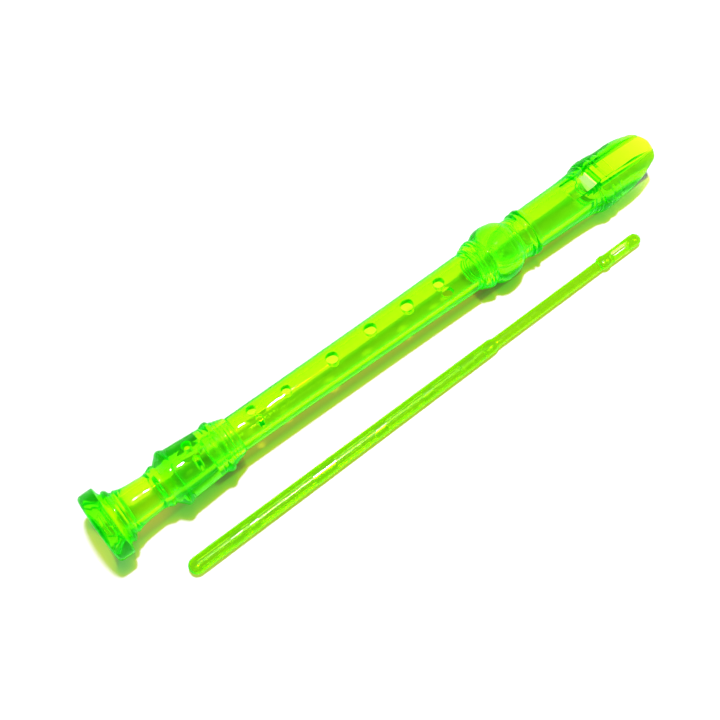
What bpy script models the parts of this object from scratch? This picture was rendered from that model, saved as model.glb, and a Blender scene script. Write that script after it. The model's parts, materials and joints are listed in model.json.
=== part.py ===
"""A soprano recorder in three joints, with the rod that cleans it, lying as they rest on a table.

Each piece of the instrument is drawn on the instrument's own axis: z is the station, from the bell
end towards the beak, x is the side of the finger holes, and y the player's left. One empty then lays
them down: stations run along world +X, the finger holes face +Z and the player's left is -Y.
"""

import math

import bmesh
import bpy
from mathutils import Matrix

MM = 0.001

# Lengths along the axis
FOOT_LENGTH = 72.0 * MM
MIDDLE_SHOWN = 138.7 * MM
HEAD_LENGTH = 117.9 * MM
LOWER_TENON = 15.2 * MM
UPPER_TENON = 27.0 * MM

# The bore narrows down to the foot joint, widens through it, and ends in a dish in the bell
HEAD_BORE = 7.4 * MM
MIDDLE_BORE_TOP = 6.8 * MM
MIDDLE_BORE_LOW = 5.3 * MM
FOOT_BORE = 5.5 * MM
FOOT_BORE_END = 7.0 * MM
BELL_DISH_RADIUS = 12.0 * MM
BELL_DISH_DEPTH = 7.0 * MM

# Tenons and the sockets they fit
TENON_WALL = 2.1 * MM
RIB_HEIGHT = 0.2 * MM
RIB_HALF_WIDTH = 0.5 * MM
RIB_PITCH = 1.9 * MM
RIB_COUNT = 3
FIT = 0.3 * MM
LIP_WALL = 1.2 * MM
TENON_CHAMFER = 0.5 * MM

# Outside of the middle joint, at its foot end, half way and at its head end
MIDDLE_RADIUS_LOW = 8.85 * MM
MIDDLE_RADIUS_MID = 9.4 * MM
MIDDLE_RADIUS_TOP = 10.25 * MM

# Outside of the foot joint
BELL_RADIUS = 17.0 * MM
BELL_BAND = 7.6 * MM
BELL_CORNER = 2.0 * MM
BELL_BEAD_RADIUS = 13.2 * MM
NECK_RADIUS = 8.9 * MM
NECK_BEAD_RADIUS = 10.3 * MM
SHOULDER_RADIUS = 14.1 * MM
FOOT_BODY_RADIUS = 12.7 * MM
FOOT_BODY_TAPER = 0.9 * MM
LIP_BEAD_RADIUS = 12.9 * MM

# Outside of the head joint
SOCKET_CREST_RADIUS = 14.85 * MM
SOCKET_RING_RADIUS = 13.0 * MM
HEAD_NECK_RADIUS = 11.0 * MM
DOUBLE_RING_RADIUS = 12.35 * MM
HEAD_TUBE_LOW = 11.15 * MM
HEAD_TUBE_TOP = 11.7 * MM
WINDOW_RING_RADIUS = 14.4 * MM
BEAK_RADIUS = 13.4 * MM

# The window end of the head, each measured back from the beak's tip
RAMP_START = 56.7 * MM
LABIUM = 43.9 * MM
WINDWAY_EXIT = 39.5 * MM
WINDOW_RING = 36.2 * MM
RING_HALF_WIDTH = 6.2 * MM
FLAT_STEP = 36.0 * MM
FLAT_STEP_LENGTH = 1.6 * MM
FACET_START = 29.7 * MM
BEAK_START = 23.2 * MM
TIP_ROUND = 5.0 * MM
UNDERCUT_BACK = 47.2 * MM

# The windway's exit is over the bore, with the labium's edge level with its middle. The windway drops
# towards the tip, and the window is a little wider
ROOF_OVER_BORE = 1.2 * MM
WINDWAY_HEIGHT = 1.2 * MM
WINDWAY_DROP = 2.7 * MM
WINDWAY_HALF = 5.25 * MM
WINDOW_MARGIN = 0.55 * MM
LABIUM_OVER_BORE = 0.4 * MM
UNDERCUT_OVER_BORE = 0.1 * MM
BEAK_WALL = 1.5 * MM

# Heights above the axis of the flats round the window, and of the floor of both cuts, in the bore
RING_FLAT_HEIGHT = 12.7 * MM
BACK_FLAT_HEIGHT = 12.3 * MM
FACET_HEIGHT = 11.6 * MM
RAMP_STEP = 1.5 * MM
CUT_FLOOR = 1.0 * MM

# The beak's section, as (back from the tip, half width, underside, top), heights from the axis
BEAK_SECTIONS = (
    (BEAK_START, BEAK_RADIUS, -BEAK_RADIUS, BEAK_RADIUS),
    (18.5 * MM, 13.1 * MM, -12.0 * MM, 13.8 * MM),
    (15.0 * MM, 12.6 * MM, -10.0 * MM, 13.2 * MM),
    (11.5 * MM, 11.9 * MM, -7.2 * MM, 12.0 * MM),
    (7.8 * MM, 10.8 * MM, -3.6 * MM, 10.5 * MM),
    (4.0 * MM, 9.6 * MM, -0.2 * MM, 9.0 * MM),
    (0.0 * MM, 9.2 * MM, 1.9 * MM, 7.7 * MM),
)

# Finger holes: share of the middle joint's shown length up from its foot end, diameter, and
# offset to the player's left
FINGER_HOLES = (
    ("hole_1", 0.855, 5.6 * MM, 0.0),
    ("hole_2", 0.717, 6.4 * MM, 0.0),
    ("hole_3", 0.565, 6.2 * MM, -1.1 * MM),
    ("hole_4", 0.400, 6.1 * MM, 0.0),
    ("hole_5", 0.213, 4.7 * MM, 0.0),
    ("hole_6_left", 0.089, 3.4 * MM, 3.4 * MM),
    ("hole_6_right", 0.083, 4.8 * MM, -2.1 * MM),
)
FINGER_REST = 0.085
THUMB_HOLE_PLACE = 0.903

# The lowest holes: share of the foot's length up from the bell end, diameter, offset to the left
FOOT_HOLES = (
    ("hole_7_left", 0.710, 3.4 * MM, 3.5 * MM),
    ("hole_7_right", 0.708, 4.6 * MM, -4.6 * MM),
)
FOOT_REST = 0.713
THUMB_HOLE = 6.0 * MM
REST_LENGTH = 12.0 * MM
REST_WIDTH = 11.0 * MM
REST_DEPTH = 0.9 * MM
FOOT_REST_DEPTH = 1.5 * MM

# Cleaning rod, flattened from a turned shape, with an eye at one end and mould recesses in its grip
ROD_LENGTH = 273.3 * MM
ROD_FLATNESS = 0.75
ROD_GRIP_RADIUS = 4.15 * MM
ROD_GRIP_TOP_RADIUS = 3.65 * MM
ROD_GRIP_LENGTH = 175.0 * MM
ROD_SHANK_RADIUS = 2.8 * MM
ROD_COLLAR_RADIUS = 3.7 * MM
ROD_COLLAR_LENGTH = 3.6 * MM
ROD_EYE_RADIUS = 3.3 * MM
ROD_HEAD_LENGTH = 26.8 * MM
ROD_EYE_LENGTH = 11.6 * MM
ROD_EYE_WIDTH = 2.8 * MM
ROD_EYE_FROM_END = 7.7 * MM
ROD_RECESSES = (
    (5.0 * MM, 22.0 * MM),
    (28.5 * MM, 32.5 * MM),
    (37.0 * MM, 68.0 * MM),
    (80.5 * MM, 103.5 * MM),
    (110.0 * MM, 132.5 * MM),
    (138.5 * MM, 155.5 * MM),
    (164.5 * MM, 170.5 * MM),
)
ROD_RECESS_WIDTH = 1.6 * MM
ROD_RECESS_DEPTH = 0.9 * MM
ROD_FROM_BELL_END = 21.8 * MM
ROD_BESIDE_BELL = 12.55 * MM
ROD_YAW = math.radians(0.45)

# Facets of the round pieces, and how far a cutter runs past what it cuts
SIDES = 32
ROD_SIDES = 20
HOLE_SIDES = 20
FAR = 30.0 * MM
WELD = 0.002 * MM
SHARP_EDGE = math.radians(32)

# Places that follow from the sizes above
FOOT_LIP = FOOT_LENGTH
HEAD_LIP = FOOT_LENGTH + MIDDLE_SHOWN
TIP = HEAD_LIP + HEAD_LENGTH
FOOT_SOCKET_FLOOR = FOOT_LIP - LOWER_TENON
HEAD_SOCKET_FLOOR = HEAD_LIP + UPPER_TENON + FIT
LOWER_TENON_RADIUS = MIDDLE_BORE_LOW + TENON_WALL
UPPER_TENON_RADIUS = MIDDLE_BORE_TOP + TENON_WALL
FOOT_SOCKET = LOWER_TENON_RADIUS + RIB_HEIGHT + FIT
HEAD_SOCKET = UPPER_TENON_RADIUS + RIB_HEIGHT + FIT
WINDOW_HALF = WINDWAY_HALF + WINDOW_MARGIN
WINDWAY_ROOF = HEAD_BORE + ROOF_OVER_BORE
WINDWAY_FLOOR = WINDWAY_ROOF - WINDWAY_HEIGHT
UNDERCUT_HEIGHT = HEAD_BORE + UNDERCUT_OVER_BORE
LABIUM_HEIGHT = HEAD_BORE + LABIUM_OVER_BORE
FACET_TIP_HEIGHT = WINDWAY_ROOF - WINDWAY_DROP + BEAK_WALL
RAMP_HEIGHT = HEAD_TUBE_TOP - RAMP_STEP

CLEAR_GREEN = (0.36, 0.92, 0.02, 1.0)
WHITE = (0.86, 0.87, 0.82, 1.0)


def clear_scene():
    """Start from an empty file."""
    for obj in list(bpy.data.objects):
        bpy.data.objects.remove(obj, do_unlink=True)
    for mesh in list(bpy.data.meshes):
        bpy.data.meshes.remove(mesh)
    for collection in list(bpy.data.collections):
        bpy.data.collections.remove(collection)


def new_collection(name):
    """A collection linked to the scene."""
    collection = bpy.data.collections.new(name)
    bpy.context.scene.collection.children.link(collection)
    return collection


def plastic(name, color, roughness):
    """A plain shader for a piece's plastic."""
    material = bpy.data.materials.new(name)
    material.use_nodes = True
    shader = material.node_tree.nodes["Principled BSDF"]
    shader.inputs["Base Color"].default_value = color
    shader.inputs["Roughness"].default_value = roughness
    shader.inputs["Metallic"].default_value = 0.0
    return material


def evaluated_mesh(obj, name):
    """The object's mesh after its modifiers, with doubles welded and faces turned outwards."""
    bpy.context.view_layer.update()
    graph = bpy.context.evaluated_depsgraph_get()
    mesh = bpy.data.meshes.new_from_object(obj.evaluated_get(graph))
    mesh.name = name
    work = bmesh.new()
    work.from_mesh(mesh)
    bmesh.ops.remove_doubles(work, verts=work.verts, dist=WELD)
    bmesh.ops.recalc_face_normals(work, faces=work.faces)
    work.to_mesh(mesh)
    work.free()
    return mesh


def turned_mesh(name, profile, sides, turn=0.5):
    """Turn a profile of (station, radius) points round the axis.

    The profile runs from the beak side down the outside, and back up the bore if it is a loop. It
    starts half a side round, so that a flat side faces the table. A cutter starts on the line, so
    that its edges don't run along those of the piece it cuts.
    """
    turn *= 2 * math.pi / sides
    points = [(r * math.cos(turn), r * math.sin(turn), z) for z, r in profile]
    count = len(points)
    edges = [(i, i + 1) for i in range(count - 1)]
    is_loop = profile[0][1] > 0.0
    if is_loop:
        edges.append((count - 1, 0))
    outline = bpy.data.meshes.new(name + "_profile")
    outline.from_pydata(points, edges, [])
    obj = bpy.data.objects.new(name + "_profile", outline)
    bpy.context.scene.collection.objects.link(obj)
    screw = obj.modifiers.new("turn", "SCREW")
    screw.steps = sides
    screw.render_steps = sides
    screw.use_merge_vertices = True
    screw.merge_threshold = WELD
    mesh = evaluated_mesh(obj, name)
    bpy.data.objects.remove(obj, do_unlink=True)
    bpy.data.meshes.remove(outline)
    return mesh


def place(name, mesh, collection, parent, station=0.0):
    """An object for the mesh, on the parent's axis at its station."""
    mesh.shade_smooth()
    mesh.set_sharp_from_angle(angle=SHARP_EDGE)
    obj = bpy.data.objects.new(name, mesh)
    collection.objects.link(obj)
    obj.parent = parent
    obj.location = (0.0, 0.0, station)
    return obj


def as_cutter(obj):
    """Show the object only as a wire guide."""
    obj.hide_render = True
    obj.display_type = "WIRE"
    return obj


def box_mesh(name, low, high):
    """A box between two corners."""
    work = bmesh.new()
    bmesh.ops.create_cube(work, size=1.0)
    size = [b - a for a, b in zip(low, high)]
    middle = [(a + b) / 2 for a, b in zip(low, high)]
    bmesh.ops.scale(work, vec=size, verts=work.verts)
    bmesh.ops.translate(work, vec=middle, verts=work.verts)
    mesh = bpy.data.meshes.new(name)
    work.to_mesh(mesh)
    work.free()
    return mesh


def drill_mesh(name, radius, start, end, sides):
    """A cylinder along x from start to end, round the origin."""
    work = bmesh.new()
    bmesh.ops.create_cone(
        work,
        cap_ends=True,
        segments=sides,
        radius1=radius,
        radius2=radius,
        depth=end - start,
        matrix=Matrix.Translation(((start + end) / 2, 0.0, 0.0)) @ Matrix.Rotation(math.pi / 2, 4, "Y"),
    )
    mesh = bpy.data.meshes.new(name)
    work.to_mesh(mesh)
    work.free()
    return mesh


def outline_mesh(name, points, half_depth):
    """A flat outline of (x, y) points, made a prism from -half_depth to half_depth along z."""
    curve = bpy.data.curves.new(name, "CURVE")
    curve.dimensions = "2D"
    curve.fill_mode = "BOTH"
    curve.extrude = half_depth
    spline = curve.splines.new("POLY")
    spline.points.add(len(points) - 1)
    spline.use_cyclic_u = True
    for point, (x, y) in zip(spline.points, points):
        point.co = (x, y, 0.0, 1.0)
    obj = bpy.data.objects.new(name, curve)
    bpy.context.scene.collection.objects.link(obj)
    mesh = evaluated_mesh(obj, name)
    bpy.data.objects.remove(obj, do_unlink=True)
    bpy.data.curves.remove(curve)
    return mesh


def boolean(obj, tool, operation="DIFFERENCE"):
    """Cut the object with the tool, or keep only what lies inside it."""
    modifier = obj.modifiers.new(tool.name, "BOOLEAN")
    modifier.operation = operation
    modifier.solver = "EXACT"
    modifier.object = tool
    return modifier


def bead(centre, half_width, foot, crest, points=3):
    """Points of a rounded ring, from its beak side down, standing on a surface of radius foot."""
    found = []
    for i in range(points + 2):
        angle = math.pi * i / (points + 1)
        station = centre + half_width * math.cos(angle)
        found.append((station, foot + (crest - foot) * math.sin(angle)))
    return found


def foot_turning():
    """Outside of the foot from the lip down to the bell's band, as (share of its length, radius)."""
    lip = FOOT_SOCKET + LIP_WALL
    body_top = FOOT_BODY_RADIUS - FOOT_BODY_TAPER
    return [
        (1.0, lip),
        (0.971, lip + 1.0 * MM),
        (0.930, lip + 1.8 * MM),
        *bead(0.870, 0.029, body_top, LIP_BEAD_RADIUS),
        (0.628, FOOT_BODY_RADIUS),
        (0.580, FOOT_BODY_RADIUS + 0.3 * MM),
        (0.561, SHOULDER_RADIUS - 0.3 * MM),
        (0.543, SHOULDER_RADIUS),
        (0.528, SHOULDER_RADIUS - 0.4 * MM),
        (0.484, NECK_RADIUS + 1.4 * MM),
        *bead(0.450, 0.024, NECK_RADIUS + 0.4 * MM, NECK_BEAD_RADIUS),
        (0.406, NECK_RADIUS),
        (0.323, NECK_RADIUS + 0.2 * MM),
        (0.262, NECK_RADIUS + 0.8 * MM),
        (0.217, NECK_RADIUS + 1.6 * MM),
        (0.181, NECK_RADIUS + 2.0 * MM),
        *bead(0.151, 0.022, NECK_RADIUS + 3.2 * MM, BELL_BEAD_RADIUS),
        (0.122, BELL_BEAD_RADIUS + 0.6 * MM),
    ]


def foot_profile():
    """The foot joint's outline: socket lip, shoulder, neck and bell, then its bore and socket."""
    outside = [(share * FOOT_LENGTH, radius) for share, radius in foot_turning()]
    outside += [(BELL_BAND, BELL_RADIUS), (BELL_CORNER, BELL_RADIUS)]
    outside += [(0.3 * BELL_CORNER, BELL_RADIUS - 0.3 * BELL_CORNER), (0.0, BELL_RADIUS - BELL_CORNER)]
    inside = [(0.0, BELL_DISH_RADIUS)]
    for share in (0.4, 0.75):
        width = (BELL_DISH_RADIUS - FOOT_BORE_END) * (1.0 - share) ** 1.4
        inside.append((share * BELL_DISH_DEPTH, FOOT_BORE_END + width))
    inside += [(BELL_DISH_DEPTH, FOOT_BORE_END), (FOOT_SOCKET_FLOOR, FOOT_BORE)]
    inside += [(FOOT_SOCKET_FLOOR, FOOT_SOCKET), (FOOT_LIP, FOOT_SOCKET)]
    return outside + inside


def ribs(tenon_end, direction, radius):
    """Tenon ribs as points, counted from the tenon's end. direction is +1 towards the beak."""
    found = []
    for i in range(RIB_COUNT):
        centre = tenon_end - direction * (RIB_PITCH * (i + 0.9))
        found += [
            (centre + RIB_HALF_WIDTH, radius),
            (centre, radius + RIB_HEIGHT),
            (centre - RIB_HALF_WIDTH, radius),
        ]
    return sorted(found, reverse=True)


def middle_profile():
    """The middle joint's outline: upper tenon, tube and lower tenon, then its tapered bore."""
    top = HEAD_LIP + UPPER_TENON
    low = FOOT_SOCKET_FLOOR + FIT
    outside = [(top, UPPER_TENON_RADIUS - TENON_CHAMFER), (top - TENON_CHAMFER, UPPER_TENON_RADIUS)]
    outside += ribs(top, 1, UPPER_TENON_RADIUS)
    outside += [(HEAD_LIP - FIT, UPPER_TENON_RADIUS), (HEAD_LIP - FIT, MIDDLE_RADIUS_TOP)]
    outside += [((FOOT_LIP + HEAD_LIP) / 2, MIDDLE_RADIUS_MID)]
    outside += [(FOOT_LIP + FIT, MIDDLE_RADIUS_LOW), (FOOT_LIP + FIT, LOWER_TENON_RADIUS)]
    outside += ribs(low, -1, LOWER_TENON_RADIUS)
    outside += [(low + TENON_CHAMFER, LOWER_TENON_RADIUS), (low, LOWER_TENON_RADIUS - TENON_CHAMFER)]
    inside = [(low, MIDDLE_BORE_LOW), (top, MIDDLE_BORE_TOP)]
    return outside + inside


def head_turning():
    """Outside of the head between its lip and its ramp, as (share of that length, radius)."""
    lip = HEAD_SOCKET + LIP_WALL
    return [
        *bead(0.60, 0.031, HEAD_TUBE_LOW, DOUBLE_RING_RADIUS),
        *bead(0.545, 0.020, HEAD_TUBE_LOW, DOUBLE_RING_RADIUS - 0.5 * MM, 1),
        (0.47, HEAD_NECK_RADIUS),
        (0.428, HEAD_NECK_RADIUS + 0.3 * MM),
        (0.402, HEAD_NECK_RADIUS + 1.3 * MM),
        (0.363, SOCKET_CREST_RADIUS - 1.2 * MM),
        (0.322, SOCKET_CREST_RADIUS - 0.5 * MM),
        (0.257, SOCKET_CREST_RADIUS),
        (0.224, SOCKET_CREST_RADIUS - 0.1 * MM),
        (0.188, SOCKET_CREST_RADIUS - 0.8 * MM),
        (0.158, SOCKET_RING_RADIUS + 0.1 * MM),
        (0.093, SOCKET_RING_RADIUS),
        (0.085, SOCKET_RING_RADIUS - 0.3 * MM),
        (0.049, lip + 1.1 * MM),
        (0.026, lip + 0.5 * MM),
        (0.0, lip),
    ]


def head_profile():
    """The head joint's outside, from the beak's tip down to the socket's lip, closed on the axis."""
    backs = [TIP_ROUND * (1.0 - math.cos(math.pi / 2 * i / 5)) for i in range(1, 6)]
    backs += [row[0] for row in BEAK_SECTIONS if row[0] > 1.01 * TIP_ROUND]
    outside = [(TIP, 0.0)]
    outside += [(TIP - back, BEAK_RADIUS) for back in sorted(backs)]
    outside += [(TIP - FACET_START, BEAK_RADIUS + 0.1 * MM)]
    outside += bead(TIP - WINDOW_RING, RING_HALF_WIDTH, HEAD_TUBE_TOP + 0.5 * MM, WINDOW_RING_RADIUS, 5)
    outside += [(TIP - RAMP_START, HEAD_TUBE_TOP)]
    length = HEAD_LENGTH - RAMP_START
    outside += [(HEAD_LIP + 0.67 * length, HEAD_TUBE_LOW)]
    outside += [(HEAD_LIP + share * length, radius) for share, radius in head_turning()]
    outside += [(HEAD_LIP, 0.0)]
    return outside


def beak_section(back):
    """Half width, underside and top of the beak at a distance back from its tip."""
    back = min(max(back, 0.0), BEAK_START)
    for far, near in zip(BEAK_SECTIONS, BEAK_SECTIONS[1:]):
        if back >= near[0]:
            share = (back - near[0]) / (far[0] - near[0])
            half, under, top = [n + (f - n) * share for f, n in zip(far[1:], near[1:])]
            break
    if back < TIP_ROUND:
        end = math.sqrt(max(0.0, 1.0 - (1.0 - back / TIP_ROUND) ** 2))
        middle, reach = (top + under) / 2, (top - under) / 2 * (0.7 + 0.3 * end)
        half, under, top = half * end, middle - reach, middle + reach
    return half, under, top


def shape_beak(mesh):
    """Press the turned blank's end into the beak: each ring becomes an ellipse of its section."""
    for vertex in mesh.vertices:
        back = TIP - vertex.co.z
        if back > BEAK_START + 0.001 * MM:
            continue
        half, under, top = beak_section(back)
        radius = math.hypot(vertex.co.x, vertex.co.y)
        across = vertex.co.y / radius if radius > 0.001 * MM else 0.0
        rise = vertex.co.x / radius if radius > 0.001 * MM else 0.0
        vertex.co.x = (top + under) / 2 + (top - under) / 2 * rise
        vertex.co.y = half * across
    mesh.update()


def head_skin_mesh(name):
    """The head's outer form as a closed solid."""
    mesh = turned_mesh(name, head_profile(), SIDES)
    shape_beak(mesh)
    return mesh


def head_bore_profile():
    """What is bored out of the head: the socket, then the bore through to the beak's tip."""
    return [
        (TIP + FAR, 0.0),
        (TIP + FAR, HEAD_BORE),
        (HEAD_SOCKET_FLOOR, HEAD_BORE),
        (HEAD_SOCKET_FLOOR, HEAD_SOCKET),
        (HEAD_LIP - FAR, HEAD_SOCKET),
        (HEAD_LIP - FAR, 0.0),
    ]


def window_outline():
    """All that is cut down from the top, as (height, station): ramp, window, flats, beak facet."""
    slope = (FACET_HEIGHT - FACET_TIP_HEIGHT) / FACET_START
    return [
        (FAR, TIP - RAMP_START),
        (RAMP_HEIGHT, TIP - RAMP_START),
        (LABIUM_HEIGHT, TIP - LABIUM),
        (CUT_FLOOR, TIP - LABIUM),
        (CUT_FLOOR, TIP - WINDWAY_EXIT),
        (RING_FLAT_HEIGHT, TIP - WINDWAY_EXIT),
        (RING_FLAT_HEIGHT, TIP - FLAT_STEP),
        (BACK_FLAT_HEIGHT, TIP - FLAT_STEP + FLAT_STEP_LENGTH),
        (BACK_FLAT_HEIGHT, TIP - FACET_START),
        (FACET_HEIGHT, TIP - FACET_START),
        (FACET_TIP_HEIGHT - slope * FAR, TIP + FAR),
        (FAR, TIP + FAR),
    ]


def dropped(height, back):
    """A height in the windway at a distance back from the tip, as both its faces drop from its exit."""
    return height - WINDWAY_DROP * (1.0 - back / WINDWAY_EXIT)


def windway_outline():
    """The windway as (height, station), from its undercut to past the tip."""
    return [
        (CUT_FLOOR, TIP - UNDERCUT_BACK),
        (UNDERCUT_HEIGHT, TIP - UNDERCUT_BACK),
        (UNDERCUT_HEIGHT, TIP - WINDWAY_EXIT),
        (WINDWAY_ROOF, TIP - WINDWAY_EXIT),
        (dropped(WINDWAY_ROOF, -FAR), TIP + FAR),
        (CUT_FLOOR, TIP + FAR),
    ]


def over_outline(height):
    """All that lies over the windway's roof or floor, as (height, station), to well past the tip."""
    back = WINDWAY_EXIT + FIT
    return [
        (dropped(height, back), TIP - back),
        (FAR, TIP - back),
        (FAR, TIP + 2 * FAR),
        (dropped(height, -2 * FAR), TIP + 2 * FAR),
    ]


def upright(mesh):
    """Turn a flat (height, station) outline's prism so that it stands along the axis."""
    mesh.transform(Matrix.Rotation(math.pi / 2, 4, "X"))
    return mesh


def drill(obj, name, station, diameter, left, cutters, parent, behind=False):
    """Drill a hole square to the axis, from the axis out."""
    start, end = (-FAR, 0.0) if behind else (0.0, FAR)
    mesh = drill_mesh(name, diameter / 2, start, end, HOLE_SIDES)
    tool = as_cutter(place(name, mesh, cutters, parent, station))
    tool.location.y = left
    boolean(obj, tool)


def finger_rest(obj, name, station, outside, depth, left, cutters, parent):
    """Scoop a shallow oval rest for the finger round a pair of holes."""
    half_length = REST_LENGTH / 2
    ball = (half_length**2 + depth**2) / (2 * depth)
    work = bmesh.new()
    bmesh.ops.create_uvsphere(work, u_segments=48, v_segments=32, radius=ball)
    bmesh.ops.scale(work, vec=(1.0, REST_WIDTH / REST_LENGTH, 1.0), verts=work.verts)
    bmesh.ops.rotate(work, cent=(0, 0, 0), matrix=Matrix.Rotation(math.pi / 2, 3, "Y"), verts=work.verts)
    mesh = bpy.data.meshes.new(name)
    work.to_mesh(mesh)
    work.free()
    tool = as_cutter(place(name, mesh, cutters, parent, station))
    tool.location.x = outside - depth + ball
    tool.location.y = left
    boolean(obj, tool)


def make_foot(parts, cutters, axis):
    """Foot joint, with the little finger's pair of holes."""
    foot = place("foot_joint", turned_mesh("foot_joint", foot_profile(), SIDES), parts, axis)
    outside = FOOT_BODY_RADIUS - 0.4 * FOOT_BODY_TAPER
    station = FOOT_REST * FOOT_LENGTH
    left = (FOOT_HOLES[0][3] + FOOT_HOLES[1][3]) / 2
    finger_rest(foot, "finger_rest_7", station, outside, FOOT_REST_DEPTH, left, cutters, axis)
    for name, share, diameter, left in FOOT_HOLES:
        drill(foot, name, share * FOOT_LENGTH, diameter, left, cutters, axis)
    return foot


def make_middle(parts, cutters, axis):
    """Middle joint, with its finger holes and the thumb hole behind."""
    mesh = turned_mesh("middle_joint", middle_profile(), SIDES)
    mesh.transform(Matrix.Translation((0.0, 0.0, -FOOT_LIP)))
    middle = place("middle_joint", mesh, parts, axis, FOOT_LIP)
    station = FOOT_LIP + FINGER_REST * MIDDLE_SHOWN
    left = (FINGER_HOLES[-2][3] + FINGER_HOLES[-1][3]) / 2
    finger_rest(middle, "finger_rest_6", station, MIDDLE_RADIUS_LOW, REST_DEPTH, left, cutters, axis)
    for name, share, diameter, left in FINGER_HOLES:
        drill(middle, name, FOOT_LIP + share * MIDDLE_SHOWN, diameter, left, cutters, axis)
    station = FOOT_LIP + THUMB_HOLE_PLACE * MIDDLE_SHOWN
    drill(middle, "thumb_hole", station, THUMB_HOLE, 0.0, cutters, axis, behind=True)
    return middle


def make_head(parts, cutters, axis):
    """Head joint: the skin, less its bore, windway, window, ramp and flats."""
    mesh = head_skin_mesh("head_joint")
    mesh.transform(Matrix.Translation((0.0, 0.0, -HEAD_LIP)))
    head = place("head_joint", mesh, parts, axis, HEAD_LIP)
    bore_mesh = turned_mesh("head_bore", head_bore_profile(), SIDES, 0.0)
    bore = as_cutter(place("head_bore", bore_mesh, cutters, axis))
    roof = upright(outline_mesh("windway_roof", over_outline(WINDWAY_ROOF), FAR))
    boolean(bore, as_cutter(place("windway_roof", roof, cutters, axis)))
    boolean(head, bore)
    windway = upright(outline_mesh("windway", windway_outline(), WINDWAY_HALF))
    boolean(head, as_cutter(place("windway", windway, cutters, axis)))
    window = upright(outline_mesh("window", window_outline(), WINDOW_HALF))
    boolean(head, as_cutter(place("window", window, cutters, axis)))
    return head


def block_outline(radius, half, top):
    """Section of the block: round below, and flat on top between two upright sides."""
    first = math.asin(half / radius)
    count = 3 * SIDES // 4
    arc = [first + (2 * math.pi - 2 * first) * i / count for i in range(count + 1)]
    outline = [(radius * math.cos(angle), radius * math.sin(angle)) for angle in arc]
    return outline + [(top, -half), (top, half)]


def make_block(parts, cutters, axis):
    """The block that floors the windway, a solid plug cut flush with the beak's outside."""
    front = TIP - WINDWAY_EXIT
    radius = HEAD_BORE - FIT
    half = WINDWAY_HALF - FIT
    mesh = outline_mesh("block", block_outline(radius, half, WINDWAY_FLOOR), WINDWAY_EXIT)
    mesh.transform(Matrix.Translation((0.0, 0.0, WINDWAY_EXIT)))
    block = place("block", mesh, parts, axis, front)
    skin = as_cutter(place("head_skin", head_skin_mesh("head_skin"), cutters, axis))
    boolean(block, skin, "INTERSECT")
    over = upright(outline_mesh("over_block", over_outline(WINDWAY_FLOOR), FAR))
    boolean(block, as_cutter(place("over_block", over, cutters, axis)))
    return block


def rod_profile():
    """Outline of the cleaning rod, from its eye end down to its grip end, each end rounded."""
    head = ROD_LENGTH - ROD_HEAD_LENGTH
    quarter = [math.pi / 2 * i / 4 for i in range(5)]
    eye_end = [
        (ROD_LENGTH - ROD_EYE_RADIUS * (1.0 - math.cos(angle)), ROD_EYE_RADIUS * math.sin(angle))
        for angle in quarter
    ]
    collar = [
        (head + ROD_COLLAR_LENGTH + 1.0 * MM, ROD_EYE_RADIUS),
        (head + ROD_COLLAR_LENGTH, ROD_COLLAR_RADIUS),
        (head + 1.0 * MM, ROD_COLLAR_RADIUS),
        (head, ROD_SHANK_RADIUS),
    ]
    grip = [(ROD_GRIP_LENGTH + 2.4 * MM, ROD_SHANK_RADIUS), (ROD_GRIP_LENGTH, ROD_GRIP_TOP_RADIUS)]
    grip_end = [
        (ROD_GRIP_RADIUS * (1.0 - math.cos(angle)), ROD_GRIP_RADIUS * math.sin(angle))
        for angle in reversed(quarter)
    ]
    return eye_end + collar + grip + grip_end


def make_rod(parts, cutters, rod_axis):
    """Cleaning rod: flattened, with an eye for the cloth and recesses in both faces of the grip."""
    mesh = turned_mesh("cleaning_rod", rod_profile(), ROD_SIDES)
    mesh.transform(Matrix.Scale(ROD_FLATNESS, 4, (1.0, 0.0, 0.0)))
    rod = place("cleaning_rod", mesh, parts, rod_axis)
    eye_top = ROD_LENGTH - ROD_EYE_FROM_END
    eye_low = eye_top - ROD_EYE_LENGTH
    half = ROD_EYE_WIDTH / 2
    outline = []
    for centre, first in ((eye_top - half, 0.0), (eye_low + half, math.pi)):
        for i in range(7):
            angle = first + math.pi * i / 6
            outline.append((half * math.cos(angle), centre + half * math.sin(angle)))
    slot = outline_mesh("rod_eye", outline, FAR)
    slot.transform(Matrix.Rotation(math.pi / 2, 4, "Z") @ Matrix.Rotation(math.pi / 2, 4, "X"))
    boolean(rod, as_cutter(place("rod_eye", slot, cutters, rod_axis)))
    floor = ROD_GRIP_RADIUS * ROD_FLATNESS - ROD_RECESS_DEPTH
    half = ROD_RECESS_WIDTH / 2
    for i, (start, end) in enumerate(ROD_RECESSES, 1):
        for face, low, high in (("top", floor, FAR), ("under", -FAR, -floor)):
            name = f"rod_recess_{face}_{i}"
            recess = box_mesh(name, (low, -half, start), (high, half, end))
            boolean(rod, as_cutter(place(name, recess, cutters, rod_axis)))
    return rod


def resting_slope():
    """How the axis slopes down to the beak when the bell and the next widest ring touch the table.

    The flat sides touch, so a ring counts with the radius of its flats. Returned with the slope is
    the height over the table at which the axis leaves the bell's end.
    """
    flat = math.cos(math.pi / SIDES)
    touching, bell = BELL_BAND, BELL_RADIUS * flat
    rings = [(z, r * flat) for z, r in head_profile() if z < TIP - FACET_START]
    rings += [(z, r * flat) for z, r in foot_profile() if r < BELL_RADIUS - BELL_CORNER]
    slope = min((bell - r) / (z - touching) for z, r in rings if z > touching)
    return slope, bell + slope * touching


def lay_down(name, matrix, collection):
    """An empty that carries a piece's own axis to where it lies on the table."""
    empty = bpy.data.objects.new(name, None)
    empty.matrix_world = matrix
    collection.objects.link(empty)
    return empty


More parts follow.
